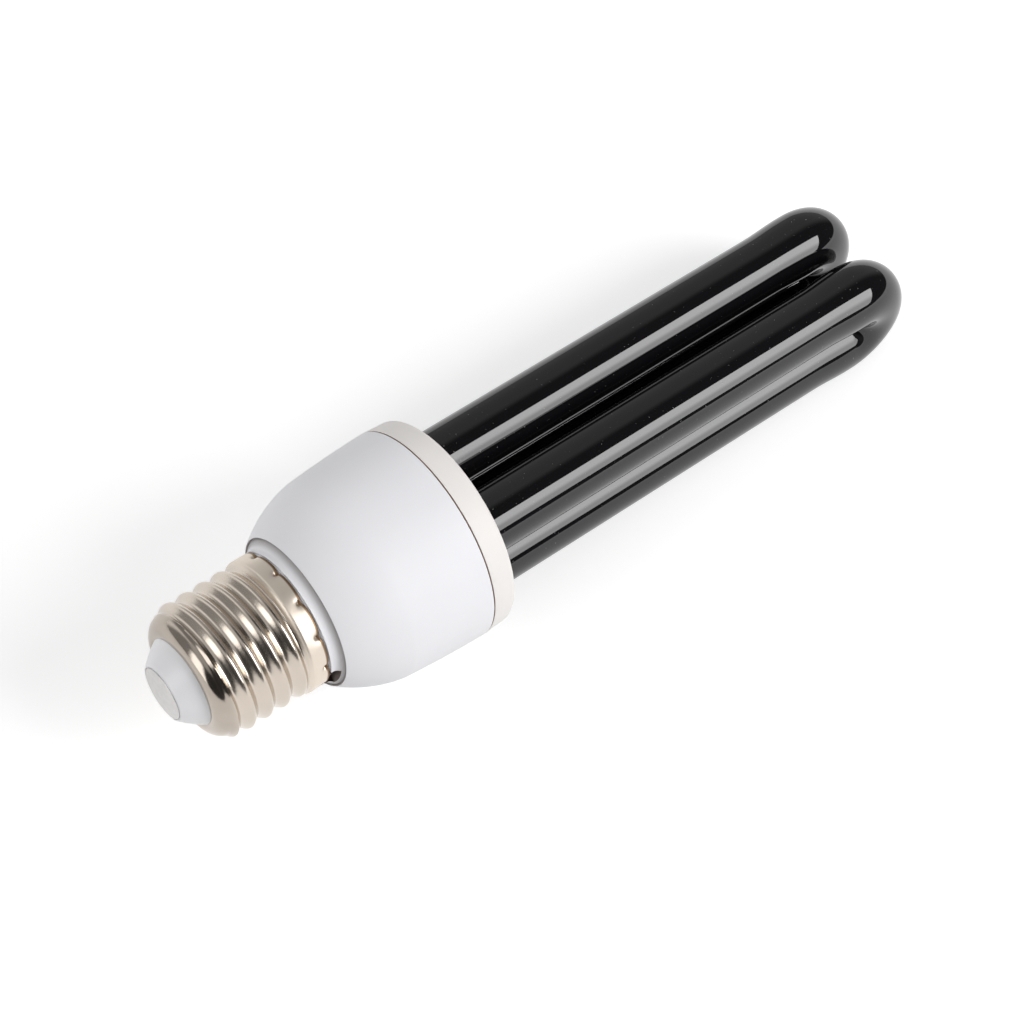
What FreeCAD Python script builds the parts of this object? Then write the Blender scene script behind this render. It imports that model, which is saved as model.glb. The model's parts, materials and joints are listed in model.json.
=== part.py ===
import FreeCAD, Part
import math
import os
import Sketcher

# Two-U compact fluorescent black light lamp with a screw cap, lying as it comes to rest.
# Sizes are in millimetres and degrees. Heights run along the lamp's axis from the centre contact.
SIZES = {
    # Centre contact and insulator cone
    "contact_margin": 0.3,
    "contact_height": 0.4,
    "contact_edge": 0.2,
    "contact_dome": 0.3,
    "shank_radius": 1.5,
    "shank_length": 4.6,
    "insulator_tip_radius": 5.4,
    "insulator_base_radius": 8.6,
    "insulator_height": 4.0,
    "insulator_swell": 0.12,
    "insulator_flange_step": 1.0,
    "insulator_flange_rise": 1.1,
    "insulator_flange_height": 1.2,
    # Screw shell
    "shell_wall": 0.35,
    "shoulder_step": 0.05,
    "shoulder_height": 2.0,
    "shoulder_swell": 0.55,
    "thread_fade": 1.6,
    "thread_crest_radius": 13.1,
    "thread_depth": 1.05,
    "thread_pitch": 3.629,
    "thread_start_angle": -58.7,
    "thread_length": 18.1,
    "skirt_step": 0.26,
    "skirt_length": 3.9,
    "stake_count": 12,
    "stake_first_angle": 19.8,
    "stake_radius": 0.8,
    "stake_depth": 0.35,
    "stake_from_rim": 0.9,
    # Base housing
    "neck_wall": 1.25,
    "neck_clearance": 0.1,
    "rim_gap": 0.15,
    "stake_groove_height": 1.9,
    "band_step": 0.04,
    "band_height": 2.0,
    "band_edge": 0.3,
    "slot_width": 6.4,
    "slot_height": 1.65,
    "slot_angle": 194.0,
    "lip_step": 1.7,
    "bowl_bulge": 0.15,
    "bowl_sink": 1.4,
    "body_flare": 1.0,
    "bowl_height": 11.2,
    "body_bulge": 0.15,
    "body_height": 16.8,
    "housing_wall": 1.5,
    "ledge_width": 0.8,
    "ledge_height": 3.4,
    "pocket_margin": 1.2,
    # Tube cover
    "cover_height": 5.3,
    "cover_taper": 0.35,
    "cover_edge": 1.0,
    "cover_plate": 1.5,
    "seam_gap": 0.25,
    "seam_depth": 0.4,
    "spigot_clearance": 0.1,
    "spigot_wall": 1.4,
    "spigot_length": 4.0,
    "snap_height": 0.25,
    "snap_width": 0.8,
    "snap_from_seam": 2.4,
    "leg_clearance": 0.25,
    "cement_height": 3.0,
    # Discharge tube
    "leg_radius": 6.0,
    "leg_gap": 1.25,
    "tube_gap": 2.6,
    "leg_edge": 1.75,
    "tube_length": 104.4,
    "leg_depth": 10.7,
    "leg_end_bevel": 2.5,
    "bend_swell": 0.35,
    "swell_length": 8.0,
    "swell_from_tip": 22.0,
    "bridge_radius": 2.4,
    "bridge_depth": 7.6,
    "pinch_width": 7.0,
    "pinch_thickness": 2.2,
    "pinch_length": 3.2,
    # Circuit board and the pieces on it
    "board_thickness": 1.6,
    "board_clearance": 0.3,
    "board_turn": 50.0,
    "part_gap": 1.0,
    "can_radius": 5.0,
    "can_length": 20.0,
    "can_edge": 0.6,
    "choke_width": 13.0,
    "choke_floor_gap": 1.5,
    "choke_thickness": 4.0,
    "choke_yoke": 1.6,
    "choke_limb": 3.0,
    "bobbin_wall": 0.6,
    "bobbin_clearance": 0.1,
    "choke_rim_gap": 2.6,
    "drive_rim_gap": 1.6,
    "drive_ring_width": 2.1,
    "drive_height": 4.2,
    "drive_winding_wall": 0.5,
    "drive_winding_angle": 110.0,
    "film_large_width": 10.0,
    "film_large_depth": 4.4,
    "film_large_height": 9.0,
    "film_small_width": 7.6,
    "film_small_depth": 4.0,
    "film_small_height": 7.2,
    "film_edge": 0.8,
    "transistor_radius": 2.4,
    "transistor_flat": 1.2,
    "transistor_height": 4.6,
    "transistor_rim_gap": 5.8,
    "transistor_leg": 0.5,
    "transistor_leg_pitch": 1.27,
    "transistor_standoff": 2.0,
    "rim_part_gap": 2.8,
    "diode_radius": 1.3,
    "diode_length": 4.2,
    "resistor_radius": 1.1,
    "resistor_length": 5.8,
    "resistor_waist": 0.15,
    "resistor_cap": 1.3,
    "diac_radius": 0.95,
    "diac_length": 3.8,
    # Wires, fuse and pins
    "wire_radius": 0.4,
    "fuse_radius": 1.75,
    "fuse_length": 9.0,
    "fuse_height": 9.2,
    "live_lead_gap": 2.4,
    "shell_lead_gap": 2.2,
    "shell_lead_tuck": 2.2,
    "shell_lead_turn": -6.0,
    "pin_side": 0.8,
    "pin_clearance": 0.05,
    "pin_height": 4.2,
    "pin_from_leg": 4.6,
    "lead_radius": 0.25,
    "lead_spacing": 3.0,
    "lead_drop": 0.9,
}

# Discs in one turn of the screw thread
DISCS_PER_TURN = 8

# How far a rounded corner's arc passes inside the corner, as a share of its radius
CORNER_SHARE = 1 - math.sqrt(0.5)

# Place of the bowl's inner bend from its outer one, in housing walls
BOWL_WALL_IN = 1.2
BOWL_WALL_UP = 0.2

# Angles of the pieces round the board, counted from the choke
FILM_LARGE_ANGLE = 90
DRIVE_ANGLE = 180
FILM_SMALL_ANGLE = 270
LIVE_LEAD_ANGLE = 45
TRANSISTOR_ANGLES = (135, 225)
DIODE_ANGLES = (60, 80, 100, 120)
RESISTOR_ANGLES = (236, 262, 288)
DIAC_ANGLE = 315


class Size:
    """A number together with the spreadsheet formula that drives it."""

    def __init__(self, value, formula):
        self.value = value
        self.formula = formula

    def __add__(self, other):
        other = as_size(other)
        return Size(self.value + other.value, f"({self.formula} + {other.formula})")

    def __sub__(self, other):
        other = as_size(other)
        return Size(self.value - other.value, f"({self.formula} - {other.formula})")

    def __mul__(self, other):
        other = as_size(other)
        return Size(self.value * other.value, f"({self.formula} * {other.formula})")

    def __truediv__(self, other):
        other = as_size(other)
        return Size(self.value / other.value, f"({self.formula} / {other.formula})")


def diagonal(first, second):
    """The slanting distance across two sizes at right angles."""
    formula = f"sqrt({first.formula} * {first.formula} + {second.formula} * {second.formula})"
    return Size(math.hypot(first.value, second.value), formula)


def as_size(number):
    """The number as a Size, so that plain numbers and sizes mix in one sum."""
    if isinstance(number, Size):
        return number
    return Size(number, str(number))


def size(name):
    """The driving size of that name, read from the spreadsheet."""
    return Size(float(sheet.get(name)), "sizes." + name)


def bind(item, name, value):
    """Ties a property of an object to its formula."""
    item.setExpression(name, as_size(value).formula)


doc = FreeCAD.newDocument("black_light_bulb")
sheet = doc.addObject("Spreadsheet::Sheet", "sizes")
for row, (name, number) in enumerate(SIZES.items(), start=1):
    sheet.set(f"A{row}", name)
    sheet.set(f"B{row}", str(number))
    sheet.setAlias(f"B{row}", name)
doc.recompute()

sub_parts = {}

UPRIGHT = FreeCAD.Vector(0, 0, 1)
SIDEWAYS = FreeCAD.Vector(0, 1, 0)
LENGTHWAYS = FreeCAD.Vector(1, 0, 0)


def keep(item, label):
    """Names an object as one of the lamp's sub-parts."""
    item.Label = label
    sub_parts[label] = item
    return item


def new_body(name):
    return doc.addObject("PartDesign::Body", name)


def new_sketch(body, name, plane, x=0, y=0, z=0):
    """A sketch on one of the body's origin planes, shifted by x, y and z in the plane's own axes."""
    sketch = body.newObject("Sketcher::SketchObject", name)
    origin_plane = [item for item in body.Origin.OriginFeatures if item.Role == plane][0]
    sketch.AttachmentSupport = [(origin_plane, "")]
    sketch.MapMode = "FlatFace"
    for axis, shift in (("x", x), ("y", y), ("z", z)):
        bind(sketch, f"AttachmentOffset.Base.{axis}", shift)
    return sketch


def pin_point(sketch, edge, end, x, y):
    """Holds one point of a sketch at x and y, each a Size, or 0 on the sketch's own axis."""
    for kind, place, axis in (("DistanceX", x, -2), ("DistanceY", y, -1)):
        place = as_size(place)
        if place.value == 0:
            sketch.addConstraint(Sketcher.Constraint("PointOnObject", edge, end, axis))
        else:
            index = sketch.addConstraint(Sketcher.Constraint(kind, -1, 1, edge, end, place.value))
            bind(sketch, f"Constraints[{index}]", place)


def vector(point):
    return FreeCAD.Vector(as_size(point[0]).value, as_size(point[1]).value, 0)


def draw_outline(sketch, outline, closed=True):
    """Draws an outline through its corners. A point marked "via" bends the line beside it into an arc.

    A sketch keeps its arcs anticlockwise, so a hollow one is drawn from its end.
    """
    corners = [point for point in outline if len(point) == 2]
    ends = corners[1:] + corners[:1] if closed else corners[1:]
    last = None
    for corner, end in zip(corners, ends):
        after = outline[(outline.index(corner) + 1) % len(outline)]
        if len(after) == 3:
            start, bend, stop = vector(corner), vector(after), vector(end)
            turned_back = (bend - start).cross(stop - start).z < 0
            curve = Part.Arc(stop, bend, start) if turned_back else Part.Arc(start, bend, stop)
        else:
            curve = Part.LineSegment(vector(corner), vector(end))
            turned_back = False
        edge = sketch.addGeometry(curve)
        start_point, end_point = (2, 1) if turned_back else (1, 2)
        pin_point(sketch, edge, start_point, *corner)
        if last is None:
            first = (edge, start_point)
        else:
            sketch.addConstraint(Sketcher.Constraint("Coincident", *last, edge, start_point))
        if len(after) == 3:
            spot = sketch.addGeometry(Part.Point(vector(after)), True)
            pin_point(sketch, spot, 1, after[0], after[1])
            sketch.addConstraint(Sketcher.Constraint("PointOnObject", spot, 1, edge))
        last = (edge, end_point)
    if closed:
        sketch.addConstraint(Sketcher.Constraint("Coincident", *last, *first))
    else:
        pin_point(sketch, *last, *corners[-1])


def draw_circle(sketch, x, y, radius):
    radius = as_size(radius)
    circle = sketch.addGeometry(Part.Circle(vector((x, y)), UPRIGHT, radius.value))
    pin_point(sketch, circle, 3, x, y)
    index = sketch.addConstraint(Sketcher.Constraint("Radius", circle, radius.value))
    bind(sketch, f"Constraints[{index}]", radius)


def turned(name, outline, x=0, y=0, angle=360):
    """A body turned from an outline of (radius, height) points about an upright axis at x and y."""
    body = new_body(name)
    sketch = new_sketch(body, name + "_outline", "XZ_Plane", x=x, z=as_size(y) * -1)
    draw_outline(sketch, outline)
    turn = body.newObject("PartDesign::Revolution", name + "_turn")
    turn.Profile = sketch
    turn.ReferenceAxis = (sketch, ["V_Axis"])
    bind(turn, "Angle", angle)
    return body


def cylinder(name, radius, height, x=0, y=0, z=0):
    item = doc.addObject("Part::Cylinder", name)
    bind(item, "Radius", radius)
    bind(item, "Height", height)
    move(item, x, y, z)
    return item


def box(name, length, width, height, x=0, y=0, z=0):
    """A box centred on x and y, with its lower face at z."""
    item = doc.addObject("Part::Box", name)
    bind(item, "Length", length)
    bind(item, "Width", width)
    bind(item, "Height", height)
    move(item, as_size(x) - as_size(length) / 2, as_size(y) - as_size(width) / 2, z)
    return item


def move(item, x, y, z):
    for axis, place in (("x", x), ("y", y), ("z", z)):
        bind(item, f"Placement.Base.{axis}", place)


def fuse(name, items):
    item = doc.addObject("Part::MultiFuse", name)
    item.Shapes = items
    item.Refine = True
    return item


def cut(name, base, tool):
    item = doc.addObject("Part::Cut", name)
    item.Base = base
    item.Tool = tool
    return item


def common(name, first, second):
    item = doc.addObject("Part::MultiCommon", name)
    item.Shapes = [first, second]
    return item


def mirrored(name, source, normal):
    item = doc.addObject("Part::Mirroring", name)
    item.Source = source
    item.Normal = normal
    return item


# Radii of the cap, then of the base from the tubes that it has to hold
thread_root_radius = size("thread_crest_radius") - size("thread_depth")
shoulder_radius = thread_root_radius - size("shoulder_step")
skirt_radius = size("thread_crest_radius") + size("skirt_step")
band_radius = skirt_radius + size("band_step")
lip_radius = band_radius + size("lip_step")
blown_radius = size("leg_radius") + size("bend_swell")
leg_spacing = blown_radius * 2 + size("leg_gap")
tube_spacing = blown_radius * 2 + size("tube_gap")
cement_radius = diagonal(tube_spacing / 2, leg_spacing / 2) + size("leg_radius") + size("leg_edge")
spigot_radius = cement_radius + size("spigot_wall")
mouth_radius = spigot_radius + size("spigot_clearance")
body_radius = mouth_radius + size("housing_wall")
cover_top_radius = body_radius - size("cover_taper")
body_low_radius = body_radius - size("body_flare")
board_radius = body_low_radius - size("housing_wall")
ledge_radius = board_radius - size("ledge_width")
bowl_mid_radius = (lip_radius + body_low_radius) / 2 + size("bowl_bulge")

# Heights of the main levels along the axis
insulator_low = size("contact_height")
shell_low = insulator_low + size("insulator_height")
flange_low = shell_low + size("insulator_flange_rise")
insulator_top = flange_low + size("insulator_flange_height")
shoulder_top = shell_low + size("shoulder_height")
skirt_low = shell_low + size("thread_length")
shell_rim = skirt_low + size("skirt_length")
band_low = shell_rim + size("rim_gap")
lip_level = band_low + size("band_height")
bowl_mid = lip_level + size("bowl_height") / 2 - size("bowl_sink")
bowl_floor = lip_level + size("housing_wall")
body_low = lip_level + size("bowl_height")
board_low = body_low + size("ledge_height")
seam = body_low + size("body_height")
cover_top = seam + size("cover_height")
cover_under = cover_top - size("cover_plate")
tube_tip = cover_top + size("tube_length")
leg_low = cover_top - size("leg_depth")
bend_reach = blown_radius + leg_spacing / 2


def make_contact():
    """Flat contact disc with a slightly domed face and a shank in the insulator."""
    radius = size("insulator_tip_radius") - size("contact_margin")
    rim = size("contact_height")
    edge = radius - size("contact_edge")
    dome = size("contact_dome")
    outline = [
        (0, 0),
        (edge / 2, dome / 4, "via"),
        (edge, dome),
        (radius, rim),
        (size("shank_radius"), rim),
        (size("shank_radius"), rim + size("shank_length")),
        (0, rim + size("shank_length")),
    ]
    keep(turned("contact_disc", outline), "centre_contact")


def make_insulator():
    """Moulded cone whose flange grips the shell's lower edge from the inside."""
    bore = size("shank_radius") + size("neck_clearance") / 2
    waist = size("insulator_base_radius") - size("shell_wall") - size("neck_clearance")
    tip = size("insulator_tip_radius")
    base = size("insulator_base_radius")
    swell = size("insulator_swell")
    flange = base + size("insulator_flange_step")
    outline = [
        (bore, insulator_low),
        (tip, insulator_low),
        ((tip + base) / 2 + swell, (insulator_low + shell_low) / 2 - swell, "via"),
        (base, shell_low),
        (waist, shell_low),
        (waist, flange_low),
        (flange, flange_low),
        (flange, insulator_top),
        (bore, insulator_top),
    ]
    keep(turned("insulator", outline), "cap_insulator")


def thread_core(name, inset):
    """Off-centre discs stacked up a turning path: lofted, they make the rounded thread of a rolled shell."""
    offset = size("thread_depth") / 2
    radius = size("thread_crest_radius") - offset - inset
    height = size("thread_length") + size("skirt_length") / 2
    turns = height.value / size("thread_pitch").value
    steps = round(turns * DISCS_PER_TURN)
    discs = []
    for index in range(steps + 1):
        angle = math.radians(size("thread_start_angle").value + 360 * turns * index / steps)
        disc = doc.addObject("Part::Circle", f"{name}_disc_{index}")
        bind(disc, "Radius", radius)
        move(disc, offset * math.cos(angle), offset * math.sin(angle), shell_low + height * (index / steps))
        discs.append(disc)
    core = doc.addObject("Part::Loft", name)
    core.Sections = discs
    core.Solid = True
    core.Ruled = True
    return core


def shell_envelope(name, inset):
    """The stamped shell before its thread is rolled: shoulder, wall and the fade between them."""
    hole = size("insulator_base_radius") - inset
    shoulder = shoulder_radius - inset
    low = shell_low + inset
    swell = size("shoulder_swell")
    outline = [
        (0, low),
        (hole, low),
        ((hole + shoulder) / 2 + swell, (low + shoulder_top) / 2 - swell, "via"),
        (shoulder, shoulder_top),
        (skirt_radius, shoulder_top + size("thread_fade")),
        (skirt_radius, skirt_low + size("skirt_length") / 2),
        (0, skirt_low + size("skirt_length") / 2),
    ]
    return turned(name, outline)


def stake_ring(name, radius):
    """Balls round the skirt that press the staking dents into it."""
    balls = []
    reach = skirt_radius + size("stake_radius") - size("stake_depth")
    count = int(size("stake_count").value)
    for index in range(count):
        angle = math.radians(size("stake_first_angle").value + 360 / count * index)
        ball = doc.addObject("Part::Sphere", f"{name}_{index}")
        bind(ball, "Radius", radius)
        move(ball, reach * math.cos(angle), reach * math.sin(angle), shell_rim - size("stake_from_rim"))
        balls.append(ball)
    return fuse(name, balls)


def make_shell():
    """Rolled sheet shell: the same thread, shoulder and dents outside and, one wall further in, inside."""
    wall = size("shell_wall")
    outer_thread = common("outer_thread", thread_core("outer_core", 0),
                          shell_envelope("outer_envelope", 0))
    outer_skirt = cylinder("outer_skirt", skirt_radius, size("skirt_length"), z=skirt_low)
    outer = cut("outer_staked", fuse("outer_shell", [outer_thread, outer_skirt]),
                stake_ring("outer_stakes", size("stake_radius")))
    inner_thread = common("inner_thread", thread_core("inner_core", wall),
                          shell_envelope("inner_envelope", wall))
    inner_skirt = cylinder("inner_skirt", skirt_radius - wall, size("skirt_length") + wall,
                           z=skirt_low + wall)
    hole = cylinder("shell_hole", size("insulator_base_radius") - wall, size("shoulder_height"),
                    z=shell_low - wall)
    inner = cut("inner_staked", fuse("inner_shell", [inner_thread, inner_skirt, hole]),
                stake_ring("inner_stakes", size("stake_radius") + wall))
    keep(cut("shell", outer, inner), "screw_shell")


def make_housing():
    """Moulded housing: neck in the shell, cove with the wire slot, sharp lip and bowl-shaped body."""
    wall = size("housing_wall")
    clear = size("neck_clearance")
    neck = thread_root_radius - size("shell_wall") - clear
    collar = skirt_radius - size("shell_wall") - clear
    groove = collar - size("stake_depth")
    bore = neck - size("neck_wall")
    groove_mid = shell_rim - size("stake_from_rim")
    half_groove = size("stake_groove_height") / 2
    collar_low = skirt_low + size("shell_wall") + clear
    seat = board_radius + size("board_clearance")
    pocket_top = seam - size("spigot_length") - size("pocket_margin")
    snap = seam - size("snap_from_seam")
    half_snap = size("snap_width") / 2
    snap_wall = mouth_radius + size("snap_height")
    cove_height = size("band_height") - size("band_edge")
    outline = [
        (bore, insulator_top + clear),
        (neck, insulator_top + clear),
        (neck, collar_low),
        (collar, collar_low),
        (collar, groove_mid - half_groove),
        (groove, groove_mid - half_groove),
        (groove, groove_mid + half_groove),
        (collar, groove_mid + half_groove),
        (collar, band_low),
        (band_radius, band_low),
        (band_radius, band_low + size("band_edge")),
        (band_radius + size("lip_step") * CORNER_SHARE, lip_level - cove_height * CORNER_SHARE, "via"),
        (lip_radius, lip_level),
        (bowl_mid_radius, bowl_mid, "via"),
        (body_low_radius, body_low),
        ((body_low_radius + body_radius) / 2 + size("body_bulge"), (body_low + seam) / 2, "via"),
        (body_radius, seam),
        (mouth_radius, seam),
        (mouth_radius, snap + half_snap),
        (snap_wall, snap),
        (mouth_radius, snap - half_snap),
        (mouth_radius, pocket_top + wall / 2),
        (seat, pocket_top),
        (seat, board_low),
        (ledge_radius, board_low),
        (ledge_radius, body_low),
        (bowl_mid_radius - wall * BOWL_WALL_IN, bowl_mid + wall * BOWL_WALL_UP),
        (lip_radius - wall, bowl_floor),
        (bore, bowl_floor),
    ]
    body = turned("housing", outline)
    slot = body.newObject("PartDesign::Pocket", "wire_slot")
    sketch = new_sketch(body, "wire_slot_outline", "XY_Plane", z=band_low + size("slot_height"))
    draw_slot(sketch, lip_radius + clear, size("slot_width"), bore - clear)
    slot.Profile = sketch
    bind(slot, "Length", size("slot_height") + size("rim_gap") + size("skirt_length"))
    bind(sketch, "AttachmentOffset.Rotation.Angle", size("slot_angle"))
    keep(body, "base_housing")


def draw_slot(sketch, outer, width, inner):
    """A straight slot along the sketch's x axis, between two radii."""
    rectangle = [(inner, width / 2), (outer, width / 2), (outer, width / -2), (inner, width / -2)]
    draw_outline(sketch, rectangle)


def leg_places():
    """Axes of the four legs: (x, y) of the upper and lower leg of the rear U, then of the front U."""
    x = tube_spacing / 2
    y = leg_spacing / 2
    return [(x, y), (x, y * -1), (x * -1, y), (x * -1, y * -1)]


def make_cover():
    """Moulded cover: a shadow gap at the seam, a spigot that snaps into the housing and four leg holes."""
    edge = size("cover_edge")
    spigot_low = seam - size("spigot_length")
    snap = seam - size("snap_from_seam")
    half_snap = size("snap_width") / 2
    shadow = body_radius - size("seam_depth")
    outline = [
        (shadow, seam),
        (shadow, seam + size("seam_gap")),
        (body_radius, seam + size("seam_gap")),
        (cover_top_radius, cover_top - edge),
        (cover_top_radius - edge * CORNER_SHARE, cover_top - edge * CORNER_SHARE, "via"),
        (cover_top_radius - edge, cover_top),
        (0, cover_top),
        (0, cover_under),
        (cement_radius, cover_under),
        (cement_radius, spigot_low),
        (spigot_radius, spigot_low),
        (spigot_radius, snap - half_snap),
        (spigot_radius + size("snap_height"), snap),
        (spigot_radius, snap + half_snap),
        (spigot_radius, seam),
    ]
    body = turned("cover", outline)
    cut_leg_holes(body, "cover", cover_top, size("cover_plate"), size("leg_radius") + size("leg_clearance"))
    keep(body, "tube_cover")


def cut_leg_holes(body, name, top, depth, radius):
    sketch = new_sketch(body, name + "_leg_circles", "XY_Plane", z=top)
    for x, y in leg_places():
        draw_circle(sketch, x, y, radius)
    holes = body.newObject("PartDesign::Pocket", name + "_leg_holes")
    holes.Profile = sketch
    bind(holes, "Length", depth)


def make_cement():
    """Cement poured round the legs, under the cover's plate."""
    low = cover_under - size("cement_height")
    body = turned("cement", [(0, low), (cement_radius, low), (cement_radius, cover_under), (0, cover_under)])
    cut_leg_holes(body, "cement", cover_under, size("cement_height"), size("leg_radius"))
    keep(body, "tube_cement")


def make_quarter():
    """One leg with its half of the blown bend, in place at the rear U's upper side."""
    x = tube_spacing / 2
    y = leg_spacing / 2
    radius = size("leg_radius")
    spring = tube_tip - blown_radius - y
    swell_low = tube_tip - size("swell_from_tip")
    bevel = size("leg_end_bevel")
    outline = [
        (0, leg_low),
        (radius - bevel, leg_low),
        (radius, leg_low + bevel),
        (radius, swell_low),
        (blown_radius, swell_low + size("swell_length")),
        (blown_radius, spring),
        (0, spring),
    ]
    body = turned("leg", outline, x=x, y=y)
    section = new_sketch(body, "bend_section", "XY_Plane", z=spring)
    draw_circle(section, x, y, blown_radius)
    turn = body.newObject("PartDesign::Revolution", "bend_turn")
    turn.Profile = section
    turn.ReferenceAxis = (section, ["H_Axis"])
    turn.Angle = 90
    return body


def make_tube():
    """Sealed glass: two U tubes from four mirrored quarters, a bridge between them and two pinches."""
    quarter = make_quarter()
    lower = mirrored("lower_quarter", quarter, SIDEWAYS)
    front = mirrored("front_quarter", quarter, LENGTHWAYS)
    front_lower = mirrored("front_lower_quarter", lower, LENGTHWAYS)
    bridge = cylinder("bridge", size("bridge_radius"), tube_spacing, tube_spacing / -2, leg_spacing / 2,
                      cover_top - size("bridge_depth"))
    bridge.Placement.Rotation = FreeCAD.Rotation(SIDEWAYS, 90)
    pinches = []
    for index, (x, y) in enumerate(leg_places()[1::2]):
        pinches.append(box(f"pinch_{index}", size("pinch_width"), size("pinch_thickness"),
                           size("pinch_length") + size("leg_end_bevel"), x, y, leg_low - size("pinch_length")))
    keep(fuse("glass", [quarter, lower, front, front_lower, bridge] + pinches), "discharge_tube")


def set_on_board(item, label, radius, angle, depth=0):
    """Turns a piece to face the axis and hangs it under the board, its own x axis pointing outwards."""
    turn = FreeCAD.Rotation(UPRIGHT, angle + size("board_turn").value)
    outwards = turn.multVec(FreeCAD.Vector(radius.value, 0, 0))
    level = UPRIGHT * (board_low - depth).value
    item.Placement = FreeCAD.Placement(outwards + level, turn)
    return keep(item, label)


def pin_places():
    """Two pins beside each pinched leg, in line with its two wires."""
    places = []
    for x, y in leg_places()[1::2]:
        for side in (-1, 1):
            places.append((x + size("lead_spacing") / 2 * side, y - size("pin_from_leg")))
    return places


def make_board():
    """Round board on the housing's ledge, with square holes for the wrap pins."""
    disc = cylinder("board_disc", board_radius, size("board_thickness"), z=board_low)
    hole_side = size("pin_side") + size("pin_clearance") * 2
    holes = []
    for index, (x, y) in enumerate(pin_places()):
        holes.append(box(f"pin_hole_{index}", hole_side, hole_side, size("board_thickness"), x, y, board_low))
    keep(cut("board", disc, fuse("pin_holes", holes)), "ballast_board")


def make_pins_and_leads():
    """Wrap pins in the board and the wires that run to them from the pinches."""
    wire = size("lead_radius")
    side = size("pin_side")
    length = size("board_thickness") + size("pin_height")
    top = leg_low - size("pinch_length")
    run = top - size("lead_drop")
    for index, (x, y) in enumerate(pin_places(), start=1):
        keep(box(f"pin_{index}", side, side, length, x, y, board_low), f"wrap_pin_{index}")
        path = [(0, top), (0, run), (size("pin_from_leg") - side / 2, run)]
        lead = bent_wire(f"lead_{index}", path, wire)
        move(lead, x, y + size("pin_from_leg"), 0)
        lead.Placement.Rotation = FreeCAD.Rotation(UPRIGHT, -90)
        keep(lead, f"electrode_lead_{index}")


def bent_wire(name, path, radius):
    """Round wire along a path of (x, height) points whose first run is upright."""
    body = new_body(name)
    spine = new_sketch(body, name + "_path", "XZ_Plane")
    draw_outline(spine, path, closed=False)
    section = new_sketch(body, name + "_section", "XY_Plane", z=path[0][1])
    draw_circle(section, path[0][0], 0, radius)
    pipe = body.newObject("PartDesign::AdditivePipe", name + "_pipe")
    pipe.Profile = section
    pipe.Spine = spine
    pipe.Transition = "Round corner"
    return body


def make_mains_wires():
    """Contact lead, fuse and live lead up the neck, and the shell lead tucked under the shell's skirt."""
    wire = size("wire_radius")
    shank_top = size("contact_height") + size("shank_length")
    fuse_low = size("fuse_height")
    fuse_top = fuse_low + size("fuse_length")
    keep(cylinder("contact_wire", wire, fuse_low - shank_top, z=shank_top), "contact_lead")
    rounding = size("fuse_radius") / 2
    outline = [
        (0, fuse_low),
        (size("fuse_radius") - rounding, fuse_low),
        (size("fuse_radius"), fuse_low + rounding),
        (size("fuse_radius"), fuse_top - rounding),
        (size("fuse_radius") - rounding, fuse_top),
        (0, fuse_top),
    ]
    keep(turned("fuse", outline), "fuse_resistor")
    can_low = board_low - size("can_length")
    bend = (fuse_top * 2 + can_low) / 3
    live_ring = size("can_radius") + size("live_lead_gap")
    path = [
        (0, fuse_top),
        (0, bend),
        (live_ring, (fuse_top + can_low * 2) / 3),
        (live_ring, board_low),
    ]
    live = bent_wire("live_wire", path, wire)
    bind(live, "Placement.Rotation.Angle", size("board_turn") + LIVE_LEAD_ANGLE)
    keep(live, "live_lead")
    outer = skirt_radius - size("shell_wall") - wire
    over = band_low + wire
    lead_ring = size("can_radius") + size("shell_lead_gap")
    path = [
        (lead_ring, board_low),
        (lead_ring, over),
        (outer, over),
        (outer, over - size("shell_lead_tuck")),
    ]
    lead = bent_wire("shell_wire", path, wire)
    bind(lead, "Placement.Rotation.Angle", size("slot_angle") + size("shell_lead_turn"))
    keep(lead, "shell_lead")


def make_can():
    """Smoothing capacitor: a can with rolled edges, standing in the neck."""
    radius = size("can_radius")
    edge = size("can_edge")
    low = board_low - size("can_length")
    outline = [
        (0, low),
        (radius - edge, low),
        (radius, low + edge),
        (radius, board_low - edge * 5),
        (radius - edge / 2, board_low - edge * 4),
        (radius, board_low - edge * 3),
        (radius, board_low - edge),
        (radius - edge, board_low),
        (0, board_low),
    ]
    keep(turned("can", outline), "electrolytic_capacitor")


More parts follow.
